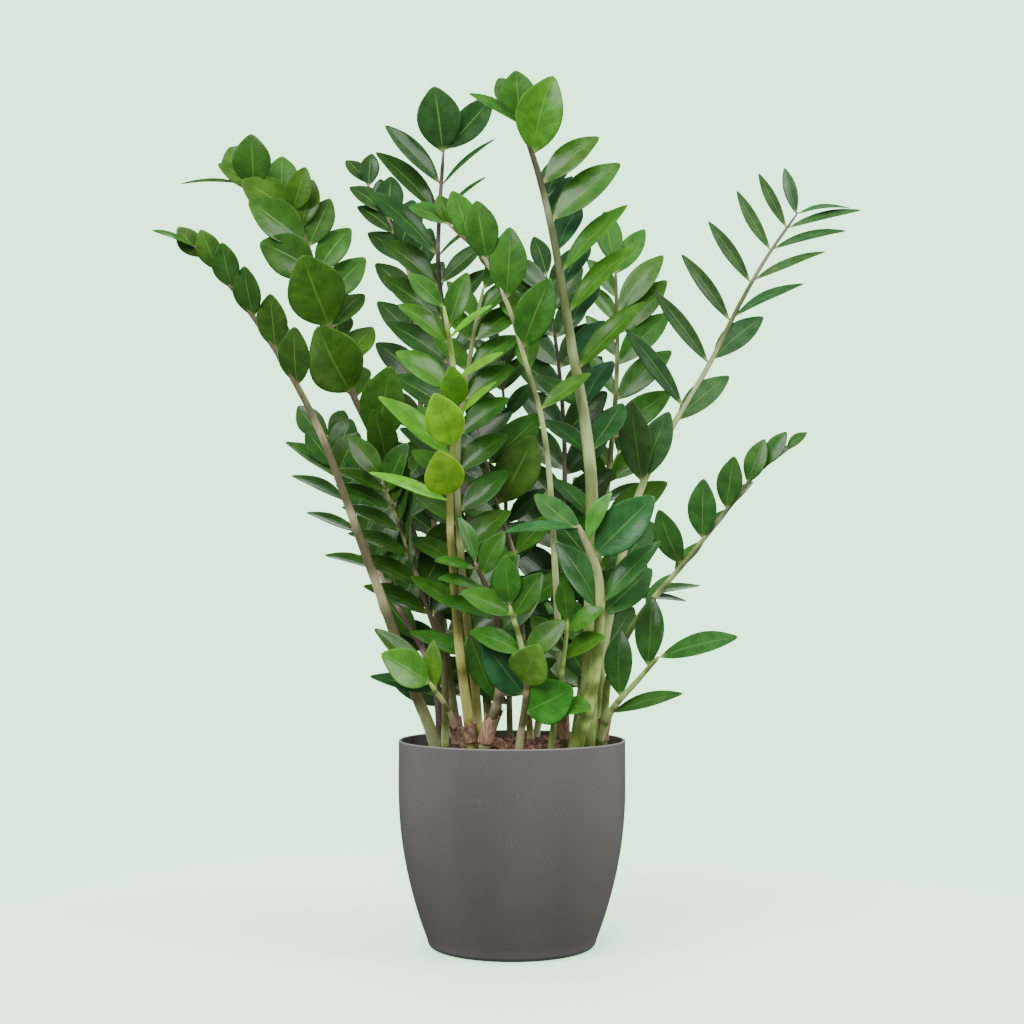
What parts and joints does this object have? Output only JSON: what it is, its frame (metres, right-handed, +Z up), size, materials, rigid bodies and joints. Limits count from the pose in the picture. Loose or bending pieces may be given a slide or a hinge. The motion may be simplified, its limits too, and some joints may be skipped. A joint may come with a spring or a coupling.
{
  "type": "potted zz plant",
  "caption": "Upright ZZ plant with arching fronds of glossy pointed leaflets, grown from tubers in soil inside a plain dark grey tapered cover pot.",
  "frame": {"origin": "centre of the pot's flat underside", "axes": "+Z up, the view from the front looks along +Y"},
  "size_m": [0.6575, 0.3409, 0.7999],
  "materials": {
    "cover_pot": "matte warm dark grey moulded plastic",
    "grower_pot": "thin black nursery pot plastic",
    "soil": "reddish brown bark and peat potting mix",
    "rhizome": "dull tan tuber skin",
    "frond_green": "waxy glossy green leaflets on a pale green stalk",
    "frond_dark": "waxy glossy dark green leaflets on a brownish stalk",
    "frond_young": "waxy fresh bright green leaflets on a yellow-green stalk",
    "dry_sheath": "dry papery brown sheath"
  },
  "bodies": {
    "root": {"cover_pot": "cover_pot", "grower_pot": "grower_pot", "soil": "soil", "rhizome_left": "rhizome", "rhizome_left_front": "rhizome", "rhizome_back": "rhizome", "rhizome_centre": "rhizome", "rhizome_front": "rhizome", "rhizome_right_front": "rhizome", "rhizome_right_back": "rhizome", "frond_far_left": "frond_green", "frond_left_broad": "frond_green", "frond_left_low": "frond_dark", "frond_back_left": "frond_dark", "frond_top_centre": "frond_dark", "frond_centre_arching": "frond_green", "frond_young_bright": "frond_young", "frond_young_second": "frond_green", "frond_tallest": "frond_green", "frond_front_hooked": "frond_green", "frond_back_centre": "frond_dark", "frond_inner_thin": "frond_dark", "frond_inner_tan": "frond_green", "frond_back_right": "frond_green", "frond_far_right": "frond_dark", "frond_right_low": "frond_green", "frond_right_thin": "frond_dark", "frond_right_bottom": "frond_green", "frond_left_bottom": "frond_young", "frond_front_short": "frond_green", "frond_front_small": "frond_green", "frond_front_stub": "frond_green", "frond_left_inner": "frond_dark", "frond_back_low_left": "frond_dark", "frond_back_low_right": "frond_dark", "sheath_left": "dry_sheath", "sheath_front_left": "dry_sheath", "sheath_front": "dry_sheath", "sheath_centre": "dry_sheath", "sheath_right": "dry_sheath", "sheath_left_front": "dry_sheath"}
  },
  "joints": []
}
